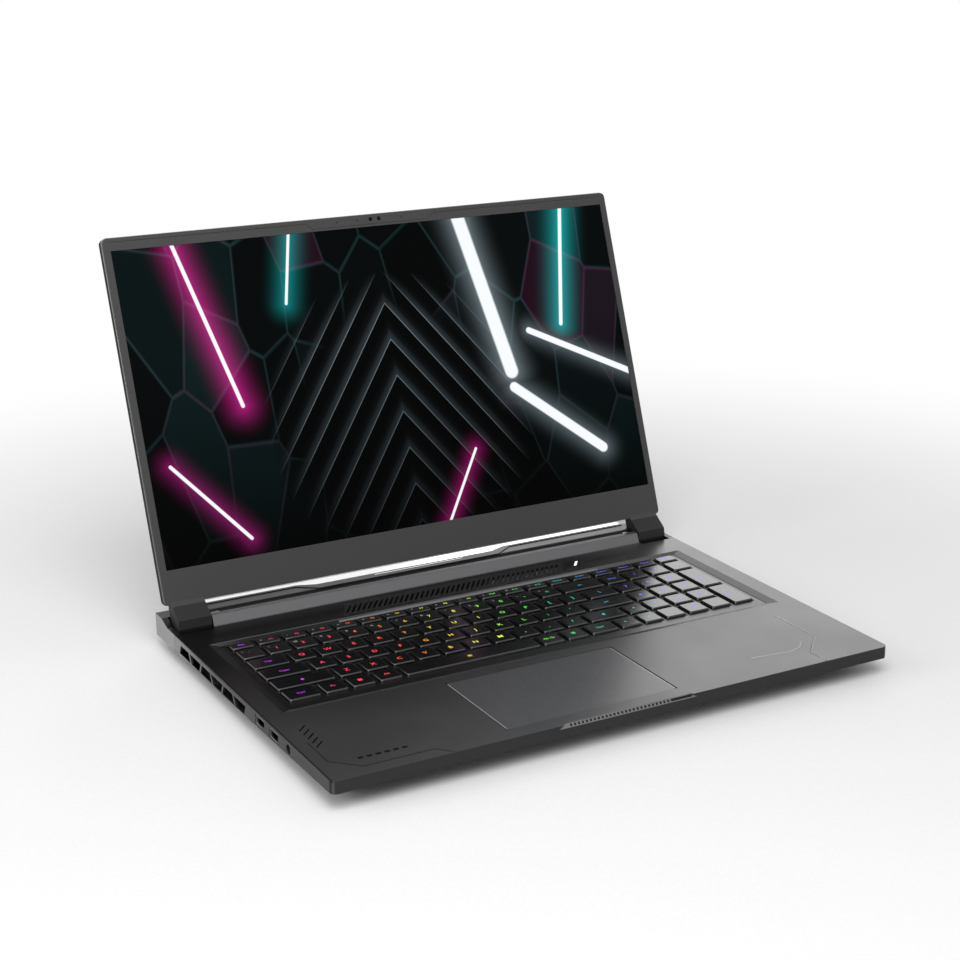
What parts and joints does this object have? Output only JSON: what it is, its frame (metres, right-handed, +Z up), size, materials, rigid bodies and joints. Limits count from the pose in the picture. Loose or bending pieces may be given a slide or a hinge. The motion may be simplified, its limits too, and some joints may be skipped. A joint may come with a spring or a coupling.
{
  "type": "notebook computer",
  "caption": "Open dark grey notebook computer: a hinged screen lid on a wedge-shaped base with a full keyboard, number pad, touchpad, vents and side sockets.",
  "frame": {"origin": "on the table under the middle of the whole object's bounding box", "axes": "+X to the user's right along the base's width, +Y away from the user to the back, +Z up"},
  "size_m": [0.394, 0.3578, 0.2658],
  "materials": {
    "deck": "satin",
    "grille": "matte",
    "bottom_shell": "matte",
    "lid_shell": "satin",
    "bezel": "matte",
    "screen": "gloss",
    "backlight": "matte",
    "camera": "gloss",
    "keys": "matte",
    "key_frame": "matte",
    "tray": "matte",
    "dome_rubber": "matte",
    "foot_rubber": "matte",
    "touchpad": "satin",
    "light_pipe": "gloss",
    "board": "matte",
    "chip": "satin",
    "pipe": "satin",
    "fins": "satin",
    "fan": "matte",
    "speaker": "matte",
    "battery": "matte",
    "socket": "satin",
    "audio_socket": "matte",
    "hinge": "satin"
  },
  "bodies": {
    "base": {"top_deck": "deck", "rear_bar": "deck", "deck_grille": "grille", "bottom_cover": "bottom_shell", "keyboard_frame": "key_frame", "keyboard_plate": "tray", "touchpad_bracket": "tray", "function_domes": "dome_rubber", "number_domes": "dome_rubber", "tab_domes": "dome_rubber", "caps_domes": "dome_rubber", "shift_domes": "dome_rubber", "bottom_domes": "dome_rubber", "space_domes": "dome_rubber", "rubber_feet": "foot_rubber", "status_lights": "light_pipe", "motherboard": "board", "left_port_board": "board", "right_port_board": "board", "memory_modules": "board", "storage_modules": "board", "wireless_card": "board", "power_switch": "board", "processor_chips": "chip", "heat_pipes": "pipe", "fin_stacks": "fins", "fan_housings": "fan", "left_speaker": "speaker", "right_speaker": "speaker", "battery": "battery", "left_usb_sockets": "socket", "right_usb_sockets": "socket", "rear_sockets": "socket", "audio_jack": "audio_socket", "left_hinge_bracket": "hinge", "right_hinge_bracket": "hinge"},
    "lid": {"lid_cover": "lid_shell", "screen_bezel": "bezel", "lcd_sheet": "screen", "backlight_unit": "backlight", "webcam": "camera", "left_hinge_arm": "hinge", "right_hinge_arm": "hinge"},
    "left_fan": {"left_fan_rotor": "fan"},
    "right_fan": {"right_fan_rotor": "fan"},
    "touchpad": {"touchpad": "touchpad"},
    "power_button": {"power_button": "grille"},
    "space_bar": {"space_bar": "keys"},
    "function_row": {"function_row_keys": "keys"},
    "number_row": {"number_row_keys": "keys"},
    "tab_row": {"tab_row_keys": "keys"},
    "caps_row": {"caps_row_keys": "keys"},
    "shift_row": {"shift_row_keys": "keys"},
    "bottom_row": {"bottom_row_keys": "keys"}
  },
  "joints": [
    {"name": "lid_hinge", "type": "hinge", "parent": "base", "child": "lid", "pos_m": [0, 0.08417, 0.0208], "axis": [1, 0, 0], "range_deg": [-18, 109]},
    {"name": "left_fan_spin", "type": "hinge", "parent": "base", "child": "left_fan", "pos_m": [-0.126, 0.01367, 0.0078], "axis": [0, 0, 1], "continuous": true},
    {"name": "right_fan_spin", "type": "hinge", "parent": "base", "child": "right_fan", "pos_m": [0.126, 0.01367, 0.0078], "axis": [0, 0, 1], "continuous": true},
    {"name": "touchpad_click", "type": "hinge", "parent": "base", "child": "touchpad", "pos_m": [-0.0196, -0.08948, 0.0169], "axis": [1, 0, 0], "range_deg": [0, 0.4], "stiffness_Nm_per_rad": 6, "springref_deg": -0.34},
    {"name": "power_button_press", "type": "slide", "parent": "base", "child": "power_button", "axis": [0, 0, -1], "range_m": [0, 0.0005], "stiffness_N_per_m": 1200, "springref_m": -0.0006},
    {"name": "function_row_press", "type": "slide", "parent": "base", "child": "function_row", "axis": [0, 0, -1], "range_m": [0, 0.0015], "stiffness_N_per_m": 400, "springref_m": -0.001, "deforming": ["function_domes"]},
    {"name": "number_row_press", "type": "slide", "parent": "base", "child": "number_row", "axis": [0, 0, -1], "range_m": [0, 0.0015], "stiffness_N_per_m": 400, "springref_m": -0.001, "deforming": ["number_domes"]},
    {"name": "tab_row_press", "type": "slide", "parent": "base", "child": "tab_row", "axis": [0, 0, -1], "range_m": [0, 0.0015], "stiffness_N_per_m": 400, "springref_m": -0.001, "deforming": ["tab_domes"]},
    {"name": "caps_row_press", "type": "slide", "parent": "base", "child": "caps_row", "axis": [0, 0, -1], "range_m": [0, 0.0015], "stiffness_N_per_m": 400, "springref_m": -0.001, "deforming": ["caps_domes"]},
    {"name": "shift_row_press", "type": "slide", "parent": "base", "child": "shift_row", "axis": [0, 0, -1], "range_m": [0, 0.0015], "stiffness_N_per_m": 400, "springref_m": -0.001, "deforming": ["shift_domes"]},
    {"name": "bottom_row_press", "type": "slide", "parent": "base", "child": "bottom_row", "axis": [0, 0, -1], "range_m": [0, 0.0015], "stiffness_N_per_m": 400, "springref_m": -0.001, "deforming": ["bottom_domes"]},
    {"name": "space_bar_press", "type": "slide", "parent": "base", "child": "space_bar", "axis": [0, 0, -1], "range_m": [0, 0.0015], "stiffness_N_per_m": 400, "springref_m": -0.001, "deforming": ["space_domes"]}
  ]
}
